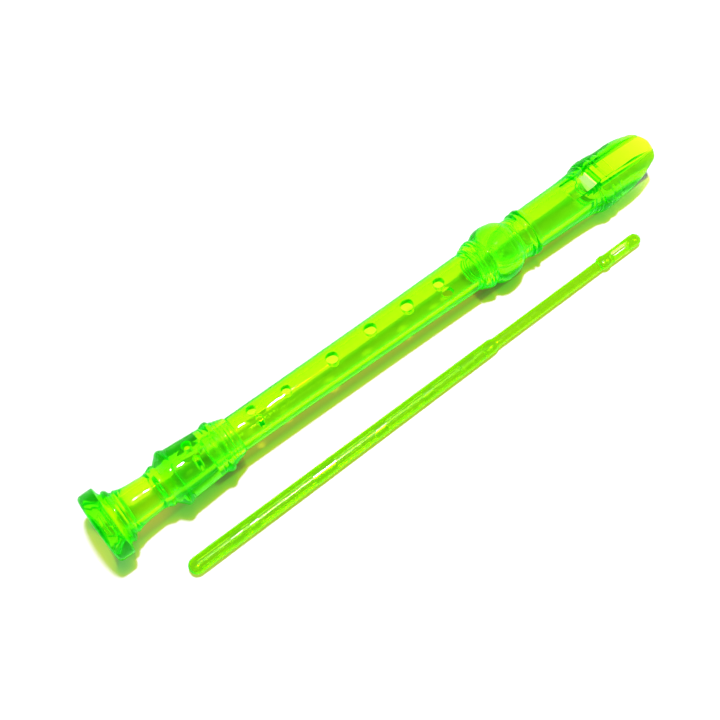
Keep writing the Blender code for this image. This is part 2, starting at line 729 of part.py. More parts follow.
def main():
    clear_scene()
    parts = new_collection("soprano_recorder")
    cutters = new_collection("cutters")

    # The origin is under the middle of the box round the recorder and its rod
    slope, bell_height = resting_slope()
    tilt = math.atan(slope)
    rod_radius = max(radius for _, radius in rod_profile())
    rod_sway = ROD_LENGTH / 2 * math.sin(ROD_YAW)
    rod_gap = BELL_RADIUS + ROD_BESIDE_BELL + rod_radius
    bell_end_x = (BELL_RADIUS * math.sin(tilt) - TIP * math.cos(tilt)) / 2
    axis_y = (rod_gap + rod_sway + rod_radius - BELL_RADIUS) / 2
    rod_middle_x = bell_end_x + ROD_FROM_BELL_END + ROD_LENGTH / 2
    rod_height = rod_radius * ROD_FLATNESS * math.cos(math.pi / ROD_SIDES)

    along_x = Matrix(((0, 0, 1, 0), (0, -1, 0, 0), (1, 0, 0, 0), (0, 0, 0, 1)))
    bell_end = Matrix.Translation((bell_end_x, axis_y, bell_height * math.cos(tilt)))
    axis = lay_down("recorder_axis", bell_end @ Matrix.Rotation(tilt, 4, "Y") @ along_x, parts)
    rod_middle = Matrix.Translation((rod_middle_x, axis_y - rod_gap, rod_height))
    rod_turn = Matrix.Rotation(ROD_YAW, 4, "Z") @ Matrix.Translation((-ROD_LENGTH / 2, 0.0, 0.0))
    rod_axis = lay_down("rod_axis", rod_middle @ rod_turn @ along_x, parts)

    pieces = [
        make_foot(parts, cutters, axis),
        make_middle(parts, cutters, axis),
        make_head(parts, cutters, axis),
        make_block(parts, cutters, axis),
        make_rod(parts, cutters, rod_axis),
    ]
    for piece in pieces:
        color = WHITE if piece.name == "block" else CLEAR_GREEN
        piece.data.materials.append(plastic(piece.name + "_plastic", color, 0.08))
    place_mm = [round(value / MM, 3) for value in axis.matrix_world.translation]
    print("bell end at", place_mm, "mm, axis slopes", round(math.degrees(tilt), 4), "degrees")


main()
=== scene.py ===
import json
import math

import bmesh
import bpy
import numpy as np
from mathutils import Matrix


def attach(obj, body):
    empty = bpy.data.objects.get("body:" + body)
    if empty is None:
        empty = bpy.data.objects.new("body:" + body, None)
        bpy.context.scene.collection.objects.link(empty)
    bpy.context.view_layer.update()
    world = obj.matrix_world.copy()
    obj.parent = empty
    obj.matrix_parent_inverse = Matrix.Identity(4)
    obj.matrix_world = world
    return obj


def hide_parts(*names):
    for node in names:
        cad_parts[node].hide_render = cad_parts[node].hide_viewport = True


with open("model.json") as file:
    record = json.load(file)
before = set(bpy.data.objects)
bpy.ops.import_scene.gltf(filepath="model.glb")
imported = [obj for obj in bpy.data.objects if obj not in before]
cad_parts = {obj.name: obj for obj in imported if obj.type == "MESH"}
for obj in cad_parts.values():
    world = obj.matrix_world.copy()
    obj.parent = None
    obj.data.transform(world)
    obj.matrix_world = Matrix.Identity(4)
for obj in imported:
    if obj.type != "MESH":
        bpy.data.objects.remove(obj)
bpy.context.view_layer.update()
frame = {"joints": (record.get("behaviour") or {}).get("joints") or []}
mm = 0.001

# A soprano recorder in clear neon green plastic and its cleaning rod. Shapes are worked out in mm on
# the instrument's own axis as (station, across to the player's right, up out of the finger holes), and
# only the last step lays them down in metres where the CAD nodes lie. Station 0 is 2.4 mm up from the
# bell's end.
stationZero = 2.4
footTurn = next(joint for joint in frame["joints"] if joint["name"] == "foot_turn")
bellEnd = np.array(footTurn["pos_m"])
alongAxis = np.array(footTurn["axis"])
upAxis = np.array([-alongAxis[2], 0.0, alongAxis[0]])
recorderAxes = (bellEnd + stationZero * mm * alongAxis, np.array([alongAxis, (0.0, 1.0, 0.0), upAxis]))


# Profiles
def curveThrough(points, spacing):
    # Cubic Hermite curve through the points over their chord length. The slope at an inner point is the
    # mean of the chords beside it, weighted by the other chord's length; at an end it is the chord's.
    points = np.array(points, float)
    chord = np.linalg.norm(np.diff(points, axis=0), axis=1)
    along = np.concatenate([[0.0], np.cumsum(chord)])
    slope = np.diff(points, axis=0) / chord[:, None]
    tangent = np.empty_like(points)
    tangent[0] = slope[0]
    tangent[-1] = slope[-1]
    before = chord[:-1, None]
    after = chord[1:, None]
    tangent[1:-1] = (slope[:-1] * after + slope[1:] * before) / (before + after)
    place = np.linspace(0.0, along[-1], max(2, int(math.ceil(along[-1] / spacing)) + 1))
    i = np.clip(np.searchsorted(along, place, side="right") - 1, 0, len(chord) - 1)
    h = chord[i][:, None]
    t = ((place - along[i]) / chord[i])[:, None]
    start = (2 * t**3 - 3 * t**2 + 1) * points[i] + (t**3 - 2 * t**2 + t) * h * tangent[i]
    end = (3 * t**2 - 2 * t**3) * points[i + 1] + (t**3 - t**2) * h * tangent[i + 1]
    return start + end


def profileFrom(runs):
    # Joins runs of (spacing, points) end to end. Each run is smooth, and the joins are corners.
    curves = [curveThrough(points, spacing) for spacing, points in runs]
    return np.concatenate([curves[0]] + [curve[1:] for curve in curves[1:]])


def straightRuns(spacing, corners):
    # Runs of a profile that go straight from each corner to the next
    return [(spacing, [low, high]) for low, high in zip(corners[:-1], corners[1:])]


def steppedCone(start, end, count, depth, spacing=0.15, dipShare=0.4):
    # Runs of a profile from start to end in even steps. Each step bulges by depth at its middle and ends
    # in a groove, a share of that depth below the straight line.
    start = np.array(start)
    end = np.array(end)
    corners = [start + (end - start) * i / count for i in range(count + 1)]
    runs = []
    for low, high in zip(corners[:-1], corners[1:]):
        ring = low + (high - low) * 0.5 + (0.0, depth)
        dip = high - (0.0, dipShare * depth)
        runs += [(spacing, [low, ring, dip]), (spacing, [dip, high])]
    return runs


def tenonRibs(end, direction, radius, height=0.2, halfWidth=0.5, pitch=1.9, first=0.9, count=3):
    # Points of the moulded ribs near a tenon's end, from the beak side down: a low triangle every pitch
    found = []
    for i in range(count):
        centre = end - direction * pitch * (i + first)
        found += [(centre + halfWidth, radius), (centre, radius + height), (centre - halfWidth, radius)]
    return sorted(found, reverse=True)


# Meshes, in mm until they are laid down
weldDistance = 0.002
sliverLength = 0.0005
axisTolerance = 1e-6


def cleaned(mesh):
    # Doubles merged, slivers dissolved, faces outwards
    work = bmesh.new()
    work.from_mesh(mesh)
    bmesh.ops.remove_doubles(work, verts=work.verts, dist=weldDistance)
    bmesh.ops.dissolve_degenerate(work, edges=work.edges, dist=sliverLength)
    bmesh.ops.recalc_face_normals(work, faces=work.faces)
    work.to_mesh(mesh)
    work.free()
    return mesh


def coordinates(mesh):
    # A mesh's points as rows of (x, y, z)
    points = np.empty(len(mesh.vertices) * 3)
    mesh.vertices.foreach_get("co", points)
    return points.reshape(-1, 3)


def movePoints(mesh, points):
    # Puts a mesh's points at new places, given in the same order
    mesh.vertices.foreach_set("co", points.ravel())
    mesh.update()


def gridMesh(name, points, rows, columns, isLoop):
    # Quads over a grid of points that closes round its columns, and round its rows for a loop. Rows that
    # shrink to one point are welded into poles, and the faces are turned outwards.
    row = np.arange(rows if isLoop else rows - 1)
    i, j = np.meshgrid(row, np.arange(columns), indexing="ij")
    nextI = (i + 1) % rows
    nextJ = (j + 1) % columns
    corners = [i * columns + j, i * columns + nextJ, nextI * columns + nextJ, nextI * columns + j]
    quads = np.stack(corners, axis=-1)
    mesh = bpy.data.meshes.new(name)
    mesh.from_pydata(points.tolist(), [], quads.reshape(-1, 4).tolist())
    return cleaned(mesh)


def turned(name, profile, sides, start=0.0):
    # Surface of revolution: a profile point (station, radius) goes to (station, radius sin a,
    # radius cos a) for each angle a. A profile that ends off the axis at both ends is a closed loop.
    angle = 2 * math.pi * (np.arange(sides) + start) / sides
    station = np.repeat(profile[:, 0], sides)
    across = np.outer(profile[:, 1], np.sin(angle)).ravel()
    up = np.outer(profile[:, 1], np.cos(angle)).ravel()
    isLoop = profile[0, 1] > axisTolerance and profile[-1, 1] > axisTolerance
    return gridMesh(name, np.stack([station, across, up], axis=1), len(profile), sides, isLoop)


def solidBetween(name, low, high):
    # The solid between two outlines of as many points: each point is joined to its twin and its
    # neighbour, which makes a wall of quads, and the outlines are the end faces
    count = len(low)
    i = np.arange(count)
    nextI = (i + 1) % count
    walls = np.stack([i, nextI, nextI + count, i + count], axis=1).tolist()
    ends = [i.tolist(), (i[::-1] + count).tolist()]
    mesh = bpy.data.meshes.new(name)
    mesh.from_pydata(np.concatenate([low, high]).tolist(), [], walls + ends)
    return cleaned(mesh)


def prism(name, outline, halfDepth):
    # A flat outline of (station, up) points pushed out to both sides across the axis
    outline = np.array(outline, float)
    sides = []
    for depth in (-halfDepth, halfDepth):
        sides.append(np.stack([outline[:, 0], np.full(len(outline), depth), outline[:, 1]], axis=1))
    return solidBetween(name, *sides)


def carved(mesh, tools, operation="DIFFERENCE"):
    # The mesh cut by each tool in turn, or only what lies inside the tool
    made = []
    blank = bpy.data.objects.new("blank", mesh)
    bpy.context.scene.collection.objects.link(blank)
    for tool in tools:
        cutter = bpy.data.objects.new(tool.name, tool)
        bpy.context.scene.collection.objects.link(cutter)
        modifier = blank.modifiers.new(tool.name, "BOOLEAN")
        modifier.operation = operation
        modifier.solver = "EXACT"
        modifier.object = cutter
        made.append(cutter)
    bpy.context.view_layer.update()
    graph = bpy.context.evaluated_depsgraph_get()
    result = bpy.data.meshes.new_from_object(blank.evaluated_get(graph))
    for obj in [blank] + made:
        bpy.data.objects.remove(obj, do_unlink=True)
    return cleaned(result)


def laidDown(name, mesh, axes, material, body, node, sharpDegrees=30):
    # Puts a finished mesh where its node lies, smooth between its sharp edges, in place of that node.
    # A point goes to the origin plus its station, across and up along the three directions.
    origin, directions = axes
    movePoints(mesh, origin + mm * coordinates(mesh) @ directions)
    mesh.shade_smooth()
    mesh.set_sharp_from_angle(angle=math.radians(sharpDegrees))
    mesh.materials.clear()
    mesh.materials.append(material)
    piece = bpy.data.objects.new(name, mesh)
    bpy.context.scene.collection.objects.link(piece)
    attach(piece, body)
    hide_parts(node)
    print(name, "has", len(mesh.polygons), "faces")
    return piece


# Cutters for the finger holes and the rests round them
holeCut = {
    "sides": 64,
    "edgeRound": 0.35,
    "edgePoints": 5,
    "over": 9.0,  # how far the cutter stands out of the surface
    "flare": 1.5,  # and how much it has widened up there
}
restCut = {
    "sides": 96,
    "points": 65,
}


def drill(name, station, across, profile, sides):
    # A round cutter out of the axis: a profile point (height, radius) goes to (station + radius cos a,
    # across + radius sin a, height) for each angle a
    profile = np.array(profile, float)
    angle = 2 * math.pi * np.arange(sides) / sides
    along = station + np.outer(profile[:, 1], np.cos(angle)).ravel()
    aside = across + np.outer(profile[:, 1], np.sin(angle)).ravel()
    up = np.repeat(profile[:, 0], sides)
    return gridMesh(name, np.stack([along, aside, up], axis=1), len(profile), sides, False)


def fingerHole(name, station, across, diameter, surface, behind=False):
    # A hole with a quarter round at its edge: its height rises by the sine of the quarter's angle while
    # its radius grows by one less the cosine. Away from the top line the surface lies lower.
    half = diameter / 2
    edge = surface - across**2 / (2 * surface)
    over = edge + holeCut["over"]
    quarter = np.linspace(0.0, math.pi / 2, holeCut["edgePoints"])
    heights = edge - holeCut["edgeRound"] + holeCut["edgeRound"] * np.sin(quarter)
    radii = half + holeCut["edgeRound"] * (1 - np.cos(quarter))
    profile = [(0.0, 0.0), (0.0, half), *zip(heights, radii)]
    profile += [(over, half + holeCut["flare"]), (over, 0.0)]
    if behind:
        profile = [(-height, radius) for height, radius in profile]
    return drill(name, station, across, profile, holeCut["sides"])


def fingerRest(name, station, across, surface, length, width, depth):
    # Part of a ball, squeezed across, that scoops a shallow oval out of the surface. The ball's radius
    # is the one whose cap of that depth is as wide as the oval is long.
    half = length / 2
    ball = (half**2 + depth**2) / (2 * depth)
    angle = np.linspace(0.0, math.pi, restCut["points"])
    profile = np.stack([surface - depth + ball * (1 - np.cos(angle)), ball * np.sin(angle)], axis=1)
    profile[[0, -1], 1] = 0.0
    mesh = drill(name, station, 0.0, profile, restCut["sides"])
    points = coordinates(mesh)
    points[:, 1] = points[:, 1] * width / length + across
    movePoints(mesh, points)
    return mesh


# Plastic
finishLook = {
    "waveScale": 260.0,
    "waveDetail": 2.0,
    "scuffScale": 1900.0,
    "scuffDetail": 4.0,
    "scuffStretch": (0.12, 1.0, 1.0),
    "scuffRange": (0.35, 0.75),
    "smooth": 0.02,
    "rough": 0.07,
}
plasticLook = {
    "absorption": (0.9, 0.981, 0.0),
    "density": 1000.0,
    "ior": 1.5,
    "smooth": 0.018,
    "rough": 0.054,
    "bumpDepth": 0.00004,
    "bumpStrength": 0.5,
    "shadowTint": (0.87, 0.82, 0.15),
    # Painted glow: green emission that stands in for light led through the plastic to its edges
    "paintedGlow": 0.33,
    "paintedGlowFacing": (0.0, 0.1, 0.0),
    "paintedGlowEdge": (0.0, 1.0, 0.0),
    "paintedGlowBlend": 0.35,
}
rodLook = {
    **plasticLook,
    "absorption": (0.915, 0.985, 0.0),
    "shadowTint": (0.68, 0.76, 0.1),
    "smooth": 0.12,
    "rough": 0.3,
}
whiteLook = {
    "pale": (0.92, 0.93, 0.88),
    "dull": (0.86, 0.87, 0.81),
    "cloudScale": 350.0,
    "cloudDetail": 3.0,
    # Painted light: a glow for the light that the clear joint leads into the block
    "paintedPipedLight": (0.33, 0.58, 0.2),
    "paintedPipedLightAside": (0.02, 0.12, 0.0),
    "paintedPipedLightStrength": 0.9,
    "asideRange": (0.8, 0.4),
    "ior": 1.5,
    "smooth": 0.3,
    "rough": 0.45,
    "bumpDepth": 0.00003,
    "bumpStrength": 0.4,
}


def ranged(tree, value, fromRange, toRange=(0.0, 1.0)):
    # A value carried in a straight line from one range to another, and held at its ends
    node = tree.nodes.new("ShaderNodeMapRange")
    for label, number in zip(("From Min", "From Max", "To Min", "To Max"), (*fromRange, *toRange)):
        node.inputs[label].default_value = number
    tree.links.new(value, node.inputs["Value"])
    return node


def colourMix(tree, factor, low, high):
    # A colour between two others
    mix = tree.nodes.new("ShaderNodeMix")
    mix.data_type = "RGBA"
    mix.inputs["A"].default_value = (*low, 1.0)
    mix.inputs["B"].default_value = (*high, 1.0)
    tree.links.new(factor, mix.inputs["Factor"])
    return mix.outputs["Result"]


def finishGroup(look):
    # Moulded finish: a slow orange-peel waviness for the height, and a roughness that rises from low to
    # high with fine scuffs, which are drawn out along the piece
    group = bpy.data.node_groups.new("mouldedFinish", "ShaderNodeTree")
    inputs = {
        "Wave Scale": look["waveScale"],
        "Scuff Scale": look["scuffScale"],
        "Low": look["smooth"],
        "High": look["rough"],
    }
    for label, value in inputs.items():
        socket = group.interface.new_socket(name=label, in_out="INPUT", socket_type="NodeSocketFloat")
        socket.default_value = value
    for label in ("Roughness", "Height"):
        group.interface.new_socket(name=label, in_out="OUTPUT", socket_type="NodeSocketFloat")
    nodes = group.nodes
    links = group.links
    given = nodes.new("NodeGroupInput")
    put = nodes.new("NodeGroupOutput")
    place = nodes.new("ShaderNodeTexCoord")
    wave = nodes.new("ShaderNodeTexNoise")
    wave.inputs["Detail"].default_value = look["waveDetail"]
    scuff = nodes.new("ShaderNodeTexNoise")
    scuff.inputs["Detail"].default_value = look["scuffDetail"]
    stretch = nodes.new("ShaderNodeMapping")
    stretch.inputs["Scale"].default_value = look["scuffStretch"]
    links.new(place.outputs["Object"], wave.inputs["Vector"])
    links.new(place.outputs["Object"], stretch.inputs["Vector"])
    links.new(stretch.outputs["Vector"], scuff.inputs["Vector"])
    links.new(given.outputs["Wave Scale"], wave.inputs["Scale"])
    links.new(given.outputs["Scuff Scale"], scuff.inputs["Scale"])
    spread = ranged(group, scuff.outputs["Fac"], look["scuffRange"])
    links.new(given.outputs["Low"], spread.inputs["To Min"])
    links.new(given.outputs["High"], spread.inputs["To Max"])
    links.new(spread.outputs["Result"], put.inputs["Roughness"])
    links.new(wave.outputs["Fac"], put.inputs["Height"])
    return group


def addFinish(tree, shell, finish, look):
    # The moulded finish on a shell's roughness and bump
    group = tree.nodes.new("ShaderNodeGroup")
    group.node_tree = finish
    group.inputs["Low"].default_value = look["smooth"]
    group.inputs["High"].default_value = look["rough"]
    bump = tree.nodes.new("ShaderNodeBump")
    bump.inputs["Distance"].default_value = look["bumpDepth"]
    bump.inputs["Strength"].default_value = look["bumpStrength"]
    tree.links.new(group.outputs["Roughness"], shell.inputs["Roughness"])
    tree.links.new(group.outputs["Height"], bump.inputs["Height"])
    tree.links.new(bump.outputs["Normal"], shell.inputs["Normal"])


def clearPlastic(name, look, finish):
    # Solid-dyed clear plastic: glass shell, dye as absorption inside it, and lamps let through so that
    # the table below is lit in the dye's colour
    material = bpy.data.materials.new(name)
    material.use_nodes = True
    tree = material.node_tree
    nodes = tree.nodes
    links = tree.links
    nodes.clear()
    out = nodes.new("ShaderNodeOutputMaterial")
    shell = nodes.new("ShaderNodeBsdfPrincipled")
    shell.inputs["Base Color"].default_value = (1.0, 1.0, 1.0, 1.0)
    shell.inputs["Metallic"].default_value = 0.0
    shell.inputs["IOR"].default_value = look["ior"]
    shell.inputs["Transmission Weight"].default_value = 1.0
    addFinish(tree, shell, finish, look)
    # Painted glow: green emission, most where the surface is seen edge on, for light led to the edges
    edge = nodes.new("ShaderNodeLayerWeight")
    edge.inputs["Blend"].default_value = look["paintedGlowBlend"]
    paintedGlow = colourMix(tree, edge.outputs["Facing"], look["paintedGlowFacing"], look["paintedGlowEdge"])
    links.new(paintedGlow, shell.inputs["Emission Color"])
    shell.inputs["Emission Strength"].default_value = look["paintedGlow"]
    ray = nodes.new("ShaderNodeLightPath")
    clear = nodes.new("ShaderNodeBsdfTransparent")
    clear.inputs["Color"].default_value = (*look["shadowTint"], 1.0)
    surface = shell.outputs["BSDF"]
    for kind in ("Is Shadow Ray", "Is Diffuse Ray"):
        mix = nodes.new("ShaderNodeMixShader")
        links.new(ray.outputs[kind], mix.inputs[0])
        links.new(surface, mix.inputs[1])
        links.new(clear.outputs["BSDF"], mix.inputs[2])
        surface = mix.outputs["Shader"]
    links.new(surface, out.inputs["Surface"])
    dye = nodes.new("ShaderNodeVolumeAbsorption")
    dye.inputs["Color"].default_value = (*look["absorption"], 1.0)
    dye.inputs["Density"].default_value = look["density"]
    links.new(dye.outputs["Volume"], out.inputs["Volume"])
    return material


def satinPlastic(name, look, finish):
    # Moulded plastic that isn't clear, its colour a little uneven where the mould was polished
    material = bpy.data.materials.new(name)
    material.use_nodes = True
    tree = material.node_tree
    nodes = tree.nodes
    links = tree.links
    shell = nodes["Principled BSDF"]
    shell.inputs["IOR"].default_value = look["ior"]
    addFinish(tree, shell, finish, look)
    place = nodes.new("ShaderNodeTexCoord")
    cloud = nodes.new("ShaderNodeTexNoise")
    cloud.inputs["Scale"].default_value = look["cloudScale"]
    cloud.inputs["Detail"].default_value = look["cloudDetail"]
    links.new(place.outputs["Object"], cloud.inputs["Vector"])
    colour = colourMix(tree, cloud.outputs["Fac"], look["pale"], look["dull"])
    links.new(colour, shell.inputs["Base Color"])
    # Painted light: emission for the light that the clear joint leads to it, less of it to its sides
    facing = nodes.new("ShaderNodeSeparateXYZ")
    sideways = nodes.new("ShaderNodeMath")
    sideways.operation = "ABSOLUTE"
    links.new(place.outputs["Normal"], facing.inputs["Vector"])
    links.new(facing.outputs["Y"], sideways.inputs[0])
    paintedLightShare = ranged(tree, sideways.outputs["Value"], look["asideRange"])
    paintedPipedLight = colourMix(tree, paintedLightShare.outputs["Result"], look["paintedPipedLightAside"], look["paintedPipedLight"])
    links.new(paintedPipedLight, shell.inputs["Emission Color"])
    shell.inputs["Emission Strength"].default_value = look["paintedPipedLightStrength"]
    return material


finish = finishGroup(finishLook)
clearGreen = clearPlastic("clearGreenPlastic", plasticLook, finish)
rodGreen = clearPlastic("rodGreenPlastic", rodLook, finish)
whitePlastic = satinPlastic("whitePlastic", whiteLook, finish)
print("plastic made")

# Foot joint
foot = {
    "sides": 128,
    "outside": [
        (0.3, [(69.6, 7.9), (69.6, 8.9)]),
        (0.15, [(69.6, 8.9), (69.45, 9.2), (69.2, 9.35)]),
        *steppedCone((69.2, 9.35), (62.6, 11.3), count=4, depth=0.2),
        (0.3, [(62.6, 11.3), (61.8, 12.5), (60.2, 12.9), (58.8, 12.4), (57.5, 11.8)]),
        (1.0, [(57.5, 11.8), (52.0, 12.2), (46.0, 12.62), (42.0, 12.82), (39.3, 13.0)]),
        (0.3, [(39.3, 13.0), (38.0, 13.8), (36.8, 14.1), (36.0, 13.9), (34.3, 12.25), (32.6, 10.6),
               (32.0, 9.9)]),
        (0.3, [(32.0, 9.9), (31.4, 10.2), (30.0, 10.3), (28.2, 9.4), (26.5, 8.9), (22.0, 9.05),
               (18.0, 9.3), (14.0, 10.0), (12.3, 10.7)]),
        (0.25, [(12.3, 10.7), (11.6, 10.75), (11.2, 10.4)]),
        (0.3, [(11.2, 10.4), (10.4, 10.8), (9.6, 12.3), (8.5, 13.2), (7.5, 13.0), (6.9, 12.4)]),
        (0.3, [(6.9, 12.4), (6.2, 13.6), (5.75, 15.6), (5.6, 16.2)]),
        (0.2, [(5.6, 16.2), (5.45, 16.65), (5.2, 16.918)]),
        (1.0, [(5.2, 16.918), (-0.4, 16.918)]),
        (0.2, [(-0.4, 16.918), (-1.3, 16.6), (-1.95, 15.95), (-2.3, 15.1), (-2.4, 14.5)]),
        (1.0, [(-2.4, 14.5), (-2.4, 12.5)]),
        (0.15, [(-2.4, 12.5), (-2.3, 12.2), (-2.05, 11.8)]),
    ],
    "bore": [
        (0.3, [(-2.05, 11.8), (0.4, 9.45), (2.85, 7.72), (4.6, 7.0)]),
        (2.5, [(4.6, 7.0), (54.4, 5.5)]),
        (0.8, [(54.4, 5.5), (54.4, 7.9)]),
        (1.5, [(54.4, 7.9), (69.6, 7.9)]),
    ],
    "surface": 12.34,  # the radius at its holes
    "rest": {
        "station": 48.9,
        "across": 0.55,
        "length": 12.0,
        "width": 11.0,
        "depth": 1.5,
    },
    "holes": [
        # Name, station, across and diameter
        ("hole7Left", 48.7, -3.5, 3.4),
        ("hole7Right", 48.6, 4.6, 4.6),
    ],
}
footProfile = profileFrom(foot["outside"] + foot["bore"])[:-1]
footMesh = turned("footJoint", footProfile, foot["sides"], 0.5)
footTools = [fingerRest("rest7", surface=foot["surface"], **foot["rest"])]
for hole in foot["holes"]:
    footTools.append(fingerHole(*hole, foot["surface"]))
footMesh = carved(footMesh, footTools)
footJoint = laidDown("footJoint", footMesh, recorderAxes, clearGreen, "foot", "foot_joint")

# Middle joint
headRibs = tenonRibs(235.3, 1, 8.9)
footRibs = tenonRibs(54.7, -1, 7.4)
middle = {
    "sides": 112,
    "headTenon": [
        (0.5, [(235.3, 6.8), (235.3, 8.4)]),
        (0.3, [(235.3, 8.4), (234.8, 8.9)]),
        (0.4, [(234.8, 8.9), *headRibs]),
        (1.5, [headRibs[-1], (208.0, 8.9)]),
        (0.5, [(208.0, 8.9), (208.0, 10.0)]),
    ],
    "tube": [
        (0.1, [(208.0, 10.0), (207.92, 10.12), (207.7, 10.2)]),
        (1.5, [(207.7, 10.2), (204.0, 10.15), (186.9, 9.89), (161.7, 9.53), (137.2, 9.29),
               (113.4, 9.11), (90.0, 8.94), (72.0, 8.86), (70.2, 8.85)]),
        (0.1, [(70.2, 8.85), (69.98, 8.78), (69.9, 8.6)]),
    ],
    "footTenon": [
        (0.5, [(69.9, 8.6), (69.9, 7.4)]),
        (1.5, [(69.9, 7.4), footRibs[0]]),
        (0.4, [*footRibs, (55.2, 7.4)]),
        (0.3, [(55.2, 7.4), (54.7, 6.9)]),
        (0.5, [(54.7, 6.9), (54.7, 5.3)]),
    ],
    "bore": [(2.0, [(54.7, 5.3), (235.3, 6.8)])],
    "holes": [
        # Name, station, across, diameter and the tube's radius there
        ("hole1", 188.2, 0.0, 5.6, 9.9),
        ("hole2", 169.0, 0.0, 6.4, 9.6),
        ("hole3", 148.0, 1.1, 6.2, 9.4),
        ("hole4", 125.1, 0.0, 6.1, 9.2),
        ("hole5", 99.1, 0.0, 4.7, 9.0),
        ("hole6Left", 81.9, -3.4, 3.4, 8.9),
        ("hole6Right", 81.1, 2.1, 4.8, 8.9),
    ],
    "rest": {
        "station": 81.4,
        "across": -0.65,
        "surface": 8.85,
        "length": 12.0,
        "width": 11.0,
        "depth": 0.9,
    },
    "thumb": ("thumbHole", 194.8, 0.0, 6.0, 10.0),
}
middleRuns = middle["headTenon"] + middle["tube"] + middle["footTenon"] + middle["bore"]
middleMesh = turned("middleJoint", profileFrom(middleRuns)[:-1], middle["sides"], 0.5)
middleTools = [fingerRest("rest6", **middle["rest"])]
for hole in middle["holes"]:
    middleTools.append(fingerHole(*hole))
middleTools.append(fingerHole(*middle["thumb"], behind=True))
middleMesh = carved(middleMesh, middleTools)
middleJoint = laidDown("middleJoint", middleMesh, recorderAxes, clearGreen, "middle", "middle_joint")

# Head joint
head = {
    "sides": 128,
    "tip": 326.17,
    "outside": [
        (0.6, [(208.3, 0.0), (208.3, 10.3)]),
        (0.15, [(208.3, 10.3), (208.4, 10.55), (208.7, 10.7)]),
        *steppedCone((208.7, 10.7), (213.5, 12.7), count=3, depth=0.25),
        (0.2, [(213.5, 12.7), (214.1, 12.95), (215.0, 12.85), (215.6, 12.3)]),
        (0.2, [(215.6, 12.3), (216.2, 11.85), (217.2, 11.9), (217.8, 12.5)]),
        (0.3, [(217.8, 12.5), (218.6, 13.35), (219.9, 14.1), (222.0, 14.7), (224.0, 14.82),
               (228.0, 14.35), (230.5, 13.7), (232.9, 12.3), (234.5, 11.3), (237.0, 11.0),
               (239.6, 11.1)]),
        (0.2, [(239.6, 11.1), (240.2, 11.75), (240.9, 12.05), (241.5, 11.95), (241.9, 11.2)]),
        (0.2, [(241.9, 11.2), (242.5, 11.25), (243.0, 12.1), (244.0, 12.35), (244.9, 12.2),
               (245.4, 11.6)]),
        (0.2, [(245.4, 11.6), (245.7, 11.2), (246.2, 11.1), (248.8, 11.1)]),
        (1.0, [(248.8, 11.1), (254.0, 11.2), (262.0, 11.35), (270.0, 11.5), (276.0, 11.8),
               (282.0, 12.25)]),
        (0.3, [(282.0, 12.25), (283.6, 12.8), (284.3, 13.3), (284.9, 13.25), (285.3, 13.1)]),
        (0.3, [(285.3, 13.1), (285.9, 13.7), (287.2, 14.15), (289.0, 14.29), (290.0, 14.29),
               (290.6, 14.0)]),
        (0.3, [(290.6, 14.0), (291.2, 13.7), (291.9, 14.0), (293.5, 14.05), (295.6, 13.9),
               (296.3, 13.55)]),
        (0.3, [(296.3, 13.55), (296.8, 13.2), (297.6, 13.4), (299.0, 13.4), (303.0, 13.35)]),
    ],
    "beak": [
        # Back from the tip, half width, underside and top
        (23.2, 13.35, -13.35, 13.35),
        (18.5, 13.1, -12.0, 13.75),
        (15.0, 12.6, -10.0, 13.2),
        (11.5, 11.9, -7.2, 12.0),
        (7.8, 10.8, -3.6, 10.5),
        (4.0, 9.6, -0.2, 9.0),
        (0.0, 9.2, 1.9, 7.7),
    ],
    "beakSpacing": 0.2,
    "beakRows": 45,
    "tipRows": 29,
    "tipRound": 5.0,
    "tipKeeps": 0.7,
    "boreRadius": 7.4,
    "boreSpacing": 3.0,
    "socketRadius": 9.4,
    "socketFloor": 235.6,
    "windwayHalf": 5.25,
    "windwayExit": 286.7,
    "windwayRoof": 8.6,
    "windwayFloor": 7.4,
    "windwayDrop": 2.7,
    "undercut": 7.5,
    "undercutStart": 279.0,
    "windowHalf": 5.8,
    "window": [
        (269.5, 30.0),
        (269.5, 10.2),  # the ramp down to the labium's edge
        (282.3, 7.8),
        (282.3, 1.0),
        (286.7, 1.0),
        (286.7, 9.8),  # the windway's exit and the crest over it
        (287.4, 12.7),
        (289.9, 12.7),
        (290.4, 11.3),  # the groove between the crest and the lip
        (290.7, 11.3),
        (292.0, 12.3),
        (296.5, 12.3),
        (296.5, 11.2),  # the line where the beak's flat begins
        (296.8, 11.2),
        (297.0, 11.53),
        (358.0, 2.9),
        (358.0, 30.0),
    ],
    # Ends of the bore's and the windway's cutters, clear of the piece or inside the bore
    "cutterStart": 178.0,
    "cutterEnd": 358.0,
    "cutterLow": 1.0,
    # What lies over the windway begins a little before its exit and ends clear of the piece
    "overlap": 0.3,
    "overEnd": 386.0,
    "overTop": 40.0,
}


def beakSections(back):
    # Half width, underside and top of the beak's ellipse at each distance back from the tip, smooth
    # between the given sections. Over the last part the width closes as a quarter of an ellipse does,
    # and the height closes with it as far as the share it keeps.
    table = curveThrough(head["beak"], head["beakSpacing"])[::-1]
    half, under, top = [np.interp(back, table[:, 0], table[:, column]) for column in (1, 2, 3)]
    end = np.sqrt(np.clip(1 - (1 - np.minimum(back, head["tipRound"]) / head["tipRound"]) ** 2, 0, 1))
    centre = (top + under) / 2
    reach = (top - under) / 2 * (head["tipKeeps"] + (1 - head["tipKeeps"]) * end)
    return half * end, centre - reach, centre + reach


